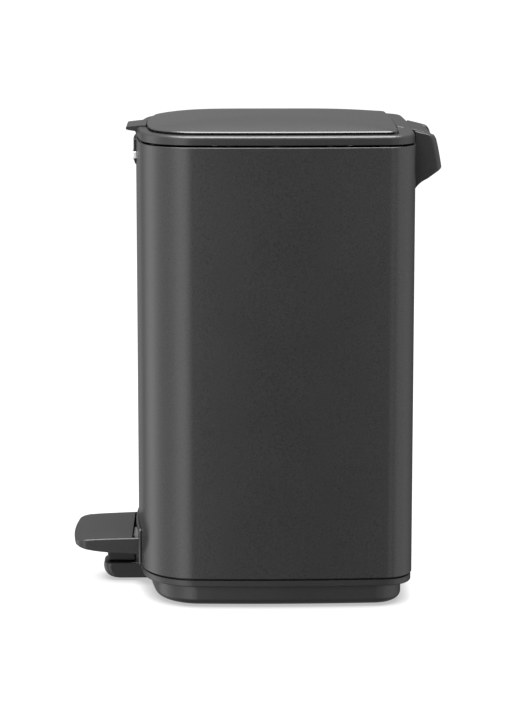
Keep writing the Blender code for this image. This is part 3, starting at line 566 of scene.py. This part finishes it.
def pedal_stop():
    """Rubber block on the front foot."""
    low, high = (-0.0090, -0.1295, 0.0146), (0.0090, -0.1075, 0.0246)
    piece("stop", block(low, high, 0.0021, "XYZ"), "body", "black_rubber", ["pedal_stop"], 60)


def bowed_plate(half, corner, levels):
    """A plate on the shell's front: levels holds (height, how far it stands out, narrowing)."""
    rings = []
    for z, proud, narrower in levels:
        width = half - narrower
        inner = width - corner
        right = [Vector((inner * k / 8, -proud)) for k in range(9)]
        right += arc((inner, corner - proud), corner, -90, 0, 8)[1:]
        # The back stands 0.3 mm off the shell, except where the plate thins out.
        right += [Vector((width, max(corner - proud, -0.0004) + 0.0001))]
        ring = []
        for p in right + mirrored(right[1:]):
            ring.append(Vector((p.x, front_y(p.x) + p.y, z)))
        rings.append(ring)
    return loft(rings)


def rounding(edge):
    """(up, back) of a face that is rounded off to its end by edge, from the end to the face."""
    return [(edge * (1 - cosine), edge * (1 - sine)) for sine, cosine in quarter(4)]


def lower_levels(low, proud, edge):
    """Levels of a plate's rounded lower end."""
    return [(low + up, proud - back, back) for up, back in rounding(edge)]


def upper_levels(high, proud, edge):
    """Levels of a plate's rounded upper end."""
    return [(high - up, proud - back, back) for up, back in reversed(rounding(edge))]


def front_clip():
    """Clip below the lip, its lower end a wedge, and the blank badge on it."""
    levels = [(0.3276, 0.0005, 0.0008), (0.3279, 0.0007, 0.0003), (0.3308, 0.00175, 0.0)]
    levels += [(0.3311, 0.00188, 0.0), (0.3316, 0.0019, 0.0), (0.3340, 0.0019, 0.0)]
    levels += upper_levels(0.3472, 0.0019, 0.0011)
    clip = bowed_plate(0.0185, 0.0004, levels)
    piece("clip", clip, "body", "moulded_plastic", ["front_clip"], 50)
    levels = lower_levels(0.3318, 0.0026, 0.0005) + upper_levels(0.3372, 0.0026, 0.0005)
    badge = bowed_plate(0.0188, 0.0006, levels)
    piece("badge", badge, "body", "clip_plate", ["clip_inlay"], 50)


def grip_section(z, rear):
    """The grip's plan at one height: straight sides, rounded rear corners, bowed rear."""
    half, corner, bow = 0.0410, 0.0045, 0.0008
    inner = half - corner
    right = [Vector((half, REAR - 0.004))]
    right += arc((inner, rear - bow - corner), corner, 0, 90, 10)
    for step in range(9, -1, -1):
        x = inner * step / 10
        right.append(Vector((x, rear - bow * (x / inner) ** 2)))
    return at_height(right + mirrored(right[:-1]), z)


def rear_grip():
    """Hand grip behind the shell: hinge pocket above, finger pocket below."""
    levels = [(0.3080, 0.1261), (0.3200, 0.1261), (0.3250, 0.1261), (0.3275, 0.1260)]
    levels += [(0.3300, 0.12565), (0.3350, 0.1248), (0.3400, 0.12385), (0.3450, 0.1228)]
    levels += [(0.3485, 0.1219), (0.3510, 0.1204), (0.3530, 0.1180), (0.3560, 0.1140)]
    grip = loft([grip_section(z, y) for z, y in levels])
    underside = [(0.09, 0.30), (0.09, 0.3090)]
    underside += arc((0.1225, 0.3000), 0.0205, 153, 113, 6)
    underside += [(0.1230, 0.3250), (0.14, 0.3385), (0.14, 0.30)]
    top_slope = [(0.09, 0.37), (0.09, 0.3564), (0.1042, 0.3550), (0.1185, 0.3515)]
    top_slope += [(0.1300, 0.3475), (0.1300, 0.37)]
    sweep_r = 0.0086
    pocket = [(REAR - FAR, HINGE_Z - sweep_r)]
    pocket += arc((HINGE_Y, HINGE_Z), sweep_r, -90, 0, 12)
    pocket += [(0.14, HINGE_Z), (0.14, 0.37), (REAR - FAR, 0.37)]
    grip = cut(
        grip,
        plan_loft([(CAN, -0.0003, 0.29), (CAN, -0.0003, 0.37)]),
        prism_x(underside, -0.06, 0.06),
        prism_x(top_slope, -0.06, 0.06),
        block((-0.0280, REAR + 0.0019, 0.30), (0.0280, 0.1222, 0.3330), 0.003, "Z"),
        prism_x(pocket, -0.0286, 0.0286),
        block((-0.0070, REAR - FAR, 0.3250), (0.0070, HINGE_Y, HINGE_Z)),
    )
    soften(grip, 0.0008, 3, 35)
    ends = [(x, HINGE_Y, HINGE_Z) for x in (-0.0386, 0.0386)]
    grip = cut(grip, bar(*ends, PIN_HOLE_R))
    piece("grip", grip, "body", "moulded_plastic", ["rear_grip"], 30)


def rim_collar():
    """Collar inside the shell's top edge, with the ledge that carries the bucket."""
    inside, lip = HEM + 0.0003, 0.0062
    profile = [
        (CAN, inside, 0.3310),
        (CAN, inside, 0.3469),
        (CAN, inside + 0.0004, 0.3473),
        (CAN, 0.0046, 0.3473),
        (CAN, 0.0054, 0.3471),
        (CAN, 0.0060, 0.3466),
        (CAN, lip, 0.3459),
        (CAN, lip, 0.3405),
        (BUCKET, -0.0007, 0.3405),
        (BUCKET, -0.0007, 0.3387),
        (CAN, 0.0036, 0.3380),
        (CAN, 0.0032, 0.3310),
    ]
    collar = cut(
        plan_loft(profile, closed=True),
        block((-CRANK_ROOM_HALF, 0.0915, 0.32), (CRANK_ROOM_HALF, REAR + FAR, 0.36)),
        block((-CLIP_SLOT_HALF, FRONT - FAR, CLIP_SLOT_LOW),
              (CLIP_SLOT_HALF, FRONT + 0.0052, CLIP_SLOT_HIGH)),
    )
    piece("collar", collar, "body", "moulded_plastic", ["rim_collar"], 30)


def inner_bucket():
    """Lift-out bucket with a flange to hang by and ears for its handle."""
    profile = [(BUCKET, 0.0130, 0.0620)]
    for sine, cosine in quarter(8):
        profile.append((BUCKET, 0.0044 + 0.0076 * (1 - sine), 0.0700 - 0.0078 * cosine))
    profile += [
        (BUCKET, 0.0007, 0.3250),
        (BUCKET, 0.0004, 0.3409),
        (BUCKET, -0.0026, 0.3409),
        (BUCKET, -0.0030, 0.3413),
        (BUCKET, -0.0030, 0.3426),
        (BUCKET, -0.0026, 0.3430),
        (BUCKET, 0.0014, 0.3430),
        (BUCKET, 0.0021, 0.3427),
        (BUCKET, 0.0024, 0.3420),
        (BUCKET, 0.0026, 0.3330),
        (BUCKET, 0.0064, 0.0705),
        (BUCKET, 0.0072, 0.0672),
        (BUCKET, 0.0094, 0.0652),
        (BUCKET, 0.0135, 0.0644),
    ]
    bucket = plan_loft(profile)
    for side in (-1, 1):
        x0, x1 = sorted((side * 0.0726, side * 0.0746))
        ear = block((x0, -0.0045, 0.3420), (x1, 0.0045, 0.3474), 0.0018, "X")
        hole = bar((side * 0.06, 0, HANDLE_Z), (side * 0.09, 0, HANDLE_Z), 0.0018)
        bucket = cut(join(bucket, ear), hole)
    piece("bucket", bucket, "body", "bucket_plastic", ["inner_bucket"], 30)


def bucket_handle():
    """Wire handle folded down on the front half of the bucket's flange."""
    radius = 0.0014
    edge = outline(BUCKET, -0.0012)
    right = [p for p in edge if p.x > 0.001 and p.y < -0.006]
    right.sort(key=lambda p: -p.y)
    hook = [(0.0722, 0.0), (0.0752, 0.0), (0.0760, -0.0004), (0.0764, -0.0010), (0.0767, -0.0022)]
    path = at_height([Vector(p) for p in hook] + right + [Vector((0.0, edge[0].y))], HANDLE_Z)
    path += mirrored(path[:-1])
    last = len(path) - 1
    rings = []
    for i, point in enumerate(path):
        along = (path[min(i + 1, last)] - path[max(i - 1, 0)]).normalized()
        across = along.cross(Vector((0, 0, 1)))
        section = circle((0, 0), radius, 14)
        rings.append([point + across * p.x + Vector((0, 0, p.y)) for p in section])
    piece("handle", loft(rings), "body", "zinc_steel", ["bucket_handle"], 50)


# ---------------------------------------------------------------- pieces of the lid


def hinge_arm():
    """Raised arm from the panel's rear edge back over the grip, ending round the hinge axis."""
    side_view = [(0.0920, 0.3572), (0.0960, 0.3568), (0.1040, 0.3553)]
    side_view += arc((HINGE_Y, HINGE_Z), 0.0081, 75, -50, 24)
    side_view += [(0.1110, 0.3372), (0.1072, 0.3400), (0.1066, 0.3450), (0.1045, 0.3498)]
    side_view += [(0.0920, 0.3520)]
    arm = soften(prism_x(side_view, -0.0280, 0.0280), 0.0007, 3, 60)
    rooms = []
    for side in (-1, 1):
        x0, x1 = sorted((side * 0.0062, side * 0.0190))
        rooms.append(block((x0, REAR - 0.0010, 0.33), (x1, 0.1250, 0.3492)))
    return cut(arm, *rooms)


def crank_fork():
    """Open fork below the arm. The push rod's bent top rides in its slot."""
    half, slot, root, bottom, tip = 0.0056, 0.0031, 0.0030, 0.0104, 0.0186
    lean = math.radians(40)
    along = Vector((-math.cos(lean), -math.sin(lean)))
    across = Vector((math.sin(lean), -math.cos(lean)))
    corners = [(root, half), (tip, half), (tip, slot), (bottom, slot)]
    corners += [(r, -w) for r, w in reversed(corners)]
    axis = Vector((HINGE_Y, HINGE_Z))
    return prism_x([axis + along * r + across * w for r, w in corners], -0.0040, 0.0040)


def front_lip():
    """Finger lip: a raised band from the panel's front edge out over the clip."""
    tip = FRONT - 0.0072
    corners = [
        (-0.0968, 0.3575, 0.0),
        (-0.1010, 0.3574, 0.0030),
        (-0.1060, 0.3569, 0.0060),
        (tip + 0.0006, 0.3562, 0.0010),
        (tip, 0.3552, 0.0006),
        (tip + 0.0003, 0.3541, 0.0006),
        (tip + 0.0020, 0.3536, 0.0010),
        (FRONT - 0.0002, 0.3528, 0.0010),
        (FRONT + 0.0012, 0.3500, 0.0),
        (FRONT + 0.0019, 0.3500, 0.0),
        (FRONT + 0.0040, 0.3530, 0.0),
        (-0.0968, 0.3550, 0.0),
    ]
    return soften(prism_x(rounded(corners, 3), -0.0200, 0.0200), 0.0005, 2, 60)


def lid_frame():
    """Moulded lid frame with the lip, the hinge arm and the crank fork in one piece."""
    low, top, shoulder = LID_BOTTOM, RIM_TOP, 0.0027
    profile = [(CAN, 0.0024, low), (CAN, 0.0013, low), (CAN, 0.0009, low + 0.0001)]
    profile += [(CAN, SET_BACK, low + 0.0005), (CAN, SET_BACK, top - shoulder)]
    for sine, cosine in quarter(8)[1:]:
        inset = SET_BACK + shoulder * (1 - cosine)
        profile.append((CAN, inset, top - shoulder + shoulder * sine))
    profile += [(PANEL, -0.0013, top), (PANEL, -0.0009, top - 0.0002)]
    profile += [(PANEL, -0.0007, top - 0.0006), (PANEL, -0.0007, RECESS)]
    profile += [(LEDGE, 0.0, RECESS), (LEDGE, 0.0, 0.3516), (CAN, 0.0026, 0.3516)]
    axis = (HINGE_Y, HINGE_Z)
    relief = bar((-0.0425, *axis), (0.0425, *axis), 0.0138, 64)
    frame = cut(plan_loft(profile, closed=True), relief)
    frame = join(frame, hinge_arm(), crank_fork(), front_lip())
    frame = cut(frame, bar((-0.05, *axis), (0.05, *axis), PIN_HOLE_R))
    piece("frame", frame, "lid", "moulded_plastic", ["lid_frame"], 32)


def lid_panel():
    """Crowned steel panel in the frame's recess. Its edge overhangs the wall it stands on."""
    middle = Vector((0.0, PANEL.mid_y))
    half_width, half_depth = PANEL.width / 2, PANEL.depth / 2

    def crowned(inset, scale, drop):
        """The outline scaled towards the middle and laid on the crown, which is a smooth dome."""
        points = []
        for p in outline(PANEL, inset):
            place = middle + (p - middle) * scale
            across, along = abs(place.x) / half_width, abs(place.y - middle.y) / half_depth
            soft = (across**6 + along**6) ** (1 / 6)
            out = soft + (scale - soft) * scale**5
            height = PANEL_EDGE + CROWN * (1 - out**2.6) - drop
            points.append(Vector((place.x, place.y, height)))
        return points

    rings = [crowned(0.0018, s, 0.0012) for s in (0.15, 0.40, 0.70, 0.95)]
    stand = [(0.0050, 0.3574), (0.0048, 0.3544), (0.0036, 0.3544), (0.0034, 0.3575)]
    stand += [(0.0003, 0.3575), (0.0001, 0.3576)]
    rings += [at_height(outline(PANEL, inset), z) for inset, z in stand]
    rolled = [(0.0, 0.0009), (0.00005, 0.00078), (0.00015, 0.00068)]
    rolled += [(0.00075, 0.00014), (0.00086, 0.00005), (0.0010, 0.0)]
    rings += [at_height(outline(PANEL, inset), PANEL_EDGE - down) for inset, down in rolled]
    scales = [1 - 0.025 * k for k in range(1, 19)] + [0.46, 0.36, 0.26, 0.16, 0.08, 0.02]
    rings += [crowned(0.0010, s, 0.0) for s in scales]
    piece("panel", loft(rings), "lid", "coated_steel", ["lid_panel"], 50)


def lid_liner():
    """Plastic liner under the panel: a flat middle inside a border that hangs a little lower."""
    profile = [
        (LINER, 0.0190, 0.3503),
        (LINER, 0.0182, 0.3501),
        (LINER, 0.0120, 0.3500),
        (LINER, 0.0114, 0.3497),
        (LINER, 0.0108, 0.3493),
        (LINER, 0.0012, 0.3493),
        (LINER, 0.0004, 0.3495),
        (LINER, 0.0, 0.3500),
        (LINER, 0.0, 0.3513),
    ]
    piece("liner", plan_loft(profile), "lid", "moulded_plastic", ["lid_liner"], 30)


# ---------------------------------------------------------------- pedal


def pedal_outline(inset):
    """Plan of the pedal cap: straight root, slightly tapered sides, rounded tip."""
    corner, taper, bow = 0.0095, 0.0012, 0.0020
    half_tip = PEDAL_HALF - taper - inset
    corner_y = PEDAL_TIP_Y + bow + corner
    right = [Vector((0.0, PEDAL_TIP_Y + inset))]
    inner = half_tip - (corner - inset)
    for step in range(1, 9):
        x = inner * step / 8
        right.append(Vector((x, PEDAL_TIP_Y + inset + bow * (x / inner) ** 2)))
    right += arc((inner, corner_y), corner - inset, -90, 0, 14)[1:]
    root = PEDAL_ROOT_Y - inset
    start = right[-1]
    for step in range(1, 9):
        t = step / 8
        right.append(Vector((start.x + taper * t, start.y + (root - start.y) * t)))
    end = right[-1]
    right += [Vector((end.x * (1 - k / 4), root)) for k in range(1, 5)]
    return right + mirrored(right[1:-1])


def way_out(y):
    """How far a place is from the pedal's root towards its tip, as a share."""
    return (y - PEDAL_ROOT_Y) / (PEDAL_TIP_Y - PEDAL_ROOT_Y)


def pedal_top(y):
    """Height of the cap's side edge along its length."""
    out = way_out(y)
    return 0.0414 - 0.0016 * out - 0.0014 * max(out, 0) ** 6


def pedal_bottom(y):
    """Height of the cap's lower edge, which rises to the tip."""
    out = way_out(y)
    return 0.0282 + 0.0030 * out + 0.0046 * max(out, 0) ** 5


def pedal_cap():
    """Hollow moulded cap over the lever. Its top ends short of the window, its walls run in."""
    middle = Vector((0.0, (PEDAL_ROOT_Y + PEDAL_TIP_Y) / 2))

    def edge(inset, height, lift):
        return [Vector((p.x, p.y, height(p.y) + lift)) for p in pedal_outline(inset)]

    def crowned(inset, scale, lift):
        points = [middle + (p - middle) * scale for p in pedal_outline(inset)]
        rise = 0.0016 * (1 - scale**2) + lift
        return [Vector((p.x, p.y, pedal_top(p.y) + rise)) for p in points]

    edge_r = 0.0013
    lower = [(0.0024, 0.0006), (0.0021, 0.0001), (0.0017, 0.0)]
    lower += [(0.0007, 0.0), (0.0002, 0.0003), (0.0, 0.0009)]
    rings = [crowned(0.0030, s, -0.0024) for s in (0.2, 0.7, 1.0)]
    rings += [edge(inset, pedal_bottom, lift) for inset, lift in lower]
    for sine, cosine in quarter(6):
        rings.append(edge(edge_r * (1 - cosine), pedal_top, -edge_r * (1 - sine)))
    scales = (0.98, 0.94, 0.88, 0.80, 0.70, 0.60, 0.45, 0.30, 0.15)
    rings += [crowned(edge_r, s, 0.0) for s in scales]
    opening = block((-0.0126, PEDAL_ROOT_Y - 0.006, 0.02), (0.0126, PEDAL_ROOT_Y + 0.005, 0.0362))
    notch = block((-0.0372, -0.1091, 0.0330), (0.0372, PEDAL_ROOT_Y + FAR, 0.06))
    cap = cut(loft(rings), opening, notch)
    for x in (-0.0165, 0.0165):
        cap = join(cap, bar((x, -0.1260, 0.0359), (x, -0.1260, 0.0405), 0.0036))
    soften(cap, 0.0004, 2, 60)
    piece("cap", cap, "pedal", "moulded_plastic", ["pedal_cap"], 35)


for build in (body_shell, base_tray, foot_pads, pedal_surround, pedal_stop, front_clip, rear_grip,
              rim_collar, inner_bucket, bucket_handle, lid_frame, lid_panel, lid_liner, pedal_cap):
    build()

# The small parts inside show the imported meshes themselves, in these finishes.
FINISH_OF = {part["node"]: part["material_slot"] for part in frame["record"]["subparts"]}
for name, node in frame["nodes"].items():
    if not node.hide_render:
        for material_slot in node.material_slots:
            material_slot.material = FINISHES[FINISH_OF[name]]

# ---------------------------------------------------------------- studio

# Brightness round the can by azimuth in degrees, blended from one entry to the next. 0 is in front
# of the can (-Y), 90 is on its +X side.
ROOM = [
    (-180, 1.2), (-150, 0.5), (-125, 0.1), (-85, 0.3), (-45, 0.4),  # the dim far side
    (-30, 1.3), (-16, 2.4), (-4, 2.2), (8, 1.5),  # a box in front of the can
    (20, 1.3), (32, 1.3),  # a fill between the two front boxes
    (44, 1.6), (55, 2.5), (69, 2.5), (76, 1.7),  # a box off the near front corner
    (84, 0.1), (92, 0.0), (102, 0.2),  # the dark gap that the flat side reflects
    (114, 1.2), (126, 0.3),  # a narrow box off the near rear corner
    (138, 1.3), (165, 1.2), (180, 1.2),  # a broad box behind the can
]
ROOM_PEAK = max(brightness for azimuth, brightness in ROOM)
CEILING, CEILING_FROM, CEILING_FULL = 0.95, 0.28, 0.70  # brightness, and the rise it fades in over
GROUND, GROUND_FROM, GROUND_FULL = 0.30, -0.45, -0.85
BACKDROP = 4.0  # brightness of the room to the camera, well past white


def overhead_box():
    """A soft box above the can, tilted a little to its +X side."""
    elevation, distance, middle = math.radians(77), 1.6, Vector((0, 0, 0.18))
    out = Vector((math.cos(elevation), 0, math.sin(elevation)))
    data = bpy.data.lights.new("overhead_box", "AREA")
    data.shape = "RECTANGLE"
    data.size, data.size_y = 1.6, 1.3
    data.energy = 98
    light = bpy.data.objects.new("overhead_box", data)
    bpy.context.scene.collection.objects.link(light)
    light.location = middle + out * distance
    light.rotation_euler = out.to_track_quat("Z", "Y").to_euler()
    light.visible_camera = False


def pale_floor():
    """White to the camera, with a painted contact shadow close to the can. It doesn't shine back at
    the can.
    """
    albedo, radius = 0.08, 12.0
    shadow_reach, shadow_depth = 0.017, 0.50
    material = bpy.data.materials.new("floor")
    material.use_nodes = True
    tree = material.node_tree
    shader = tree.nodes["Principled BSDF"]
    shader.inputs["Base Color"].default_value = (albedo, albedo, albedo, 1)
    shader.inputs["Roughness"].default_value = 0.9
    shader.inputs["Specular IOR Level"].default_value = 0.0
    shader.inputs["Emission Color"].default_value = (1, 1, 1, 1)
    # Painted shadow: an occlusion test near the can dims the floor's glow. No lamp casts it.
    contact = tree.nodes.new("ShaderNodeAmbientOcclusion")
    contact.samples = 8
    contact.inputs["Distance"].default_value = shadow_reach
    glow = tree.nodes.new("ShaderNodeMapRange")
    glow.inputs["From Min"].default_value = 0.35
    glow.inputs["From Max"].default_value = 0.90
    glow.inputs["To Min"].default_value = 1.0 - shadow_depth
    glow.inputs["To Max"].default_value = 1.0
    tree.links.new(contact.outputs["AO"], glow.inputs["Value"])
    tree.links.new(glow.outputs["Result"], shader.inputs["Emission Strength"])
    path = tree.nodes.new("ShaderNodeLightPath")
    clear = tree.nodes.new("ShaderNodeBsdfTransparent")
    mix = tree.nodes.new("ShaderNodeMixShader")
    tree.links.new(path.outputs["Is Camera Ray"], mix.inputs["Fac"])
    tree.links.new(clear.outputs["BSDF"], mix.inputs[1])
    tree.links.new(shader.outputs["BSDF"], mix.inputs[2])
    tree.links.new(mix.outputs["Shader"], tree.nodes["Material Output"].inputs["Surface"])
    bm = bmesh.new()
    bmesh.ops.create_circle(bm, cap_ends=True, segments=96, radius=radius)
    mesh = bpy.data.meshes.new("floor")
    bm.to_mesh(mesh)
    bm.free()
    mesh.materials.append(material)
    floor = bpy.data.objects.new("floor", mesh)
    bpy.context.scene.collection.objects.link(floor)


def room():
    """White to the camera. To the can it is a ring of soft boxes with a ceiling and a floor."""
    world = bpy.data.worlds.new("studio")
    world.use_nodes = True
    tree = world.node_tree

    def node(kind, source=None, **values):
        made = tree.nodes.new(kind)
        for key, value in values.items():
            setattr(made, key, value)
        if source is not None:
            tree.links.new(source, made.inputs[0])
        return made

    def math_node(operation, first, second):
        made = node("ShaderNodeMath", operation=operation)
        for socket, value in zip(made.inputs, (first, second)):
            if isinstance(value, float):
                socket.default_value = value
            else:
                tree.links.new(value, socket)
        return made.outputs["Value"]

    def ease(source, start, end):
        """Rises smoothly from 0 at start to 1 at end."""
        made = node("ShaderNodeMapRange", source, interpolation_type="SMOOTHSTEP")
        made.inputs["From Min"].default_value = start
        made.inputs["From Max"].default_value = end
        return made.outputs["Result"]

    split = node("ShaderNodeSeparateXYZ", node("ShaderNodeTexCoord").outputs["Generated"])
    x, y, z = (split.outputs[axis] for axis in "XYZ")
    azimuth = math_node("ARCTAN2", x, math_node("MULTIPLY", y, -1.0))
    turn = math_node("MULTIPLY_ADD", azimuth, 0.5 / math.pi)
    turn.node.inputs[2].default_value = 0.5
    ramp = node("ShaderNodeValToRGB", turn)
    ramp.color_ramp.interpolation = "LINEAR"
    elements = ramp.color_ramp.elements
    while len(elements) < len(ROOM):
        elements.new(0.5)
    for element, (degrees, value) in zip(elements, ROOM):
        element.position = degrees / 360 + 0.5
        element.color = (*[value / ROOM_PEAK] * 3, 1)
    ring = math_node("MULTIPLY", ramp.outputs["Color"], ROOM_PEAK)
    above, below = ease(z, CEILING_FROM, CEILING_FULL), ease(z, GROUND_FROM, GROUND_FULL)
    rest = math_node("SUBTRACT", math_node("SUBTRACT", 1.0, above), below)
    light = math_node("MULTIPLY", ring, rest)
    for part, value in ((above, CEILING), (below, GROUND)):
        light = math_node("ADD", light, math_node("MULTIPLY", part, value))
    seen = math_node("MULTIPLY", node("ShaderNodeLightPath").outputs["Is Camera Ray"], BACKDROP)
    strength = math_node("MAXIMUM", light, seen)
    tree.links.new(strength, tree.nodes["Background"].inputs["Strength"])
    tree.nodes["Background"].inputs["Color"].default_value = (1, 1, 1, 1)
    bpy.context.scene.world = world
    bpy.context.scene.view_settings.view_transform = "Standard"


def camera():
    """Looks at the can's +X side from a little in front and above. Angles in radians."""
    distance, offset_yaw, view_yaw, pitch, height = 1.8444, 0.0212, 0.0147, 0.1592, 0.5493
    data = bpy.data.cameras.new("camera")
    data.lens = 122.32
    data.shift_y = -0.14
    obj = bpy.data.objects.new("camera", data)
    bpy.context.scene.collection.objects.link(obj)
    level = Vector((-math.cos(view_yaw), math.sin(view_yaw), 0))
    forward = level * math.cos(pitch) - Vector((0, 0, math.sin(pitch)))
    right = Vector((math.sin(view_yaw), math.cos(view_yaw), 0))
    up = right.cross(forward)
    turn = Matrix((right, up, -forward)).transposed().to_4x4()
    offset = Vector((math.cos(offset_yaw), -math.sin(offset_yaw), 0)) * distance
    obj.matrix_world = Matrix.Translation(Vector((0, BODY_Y, height)) + offset) @ turn
    bpy.context.scene.camera = obj


overhead_box()
pale_floor()
room()
camera()
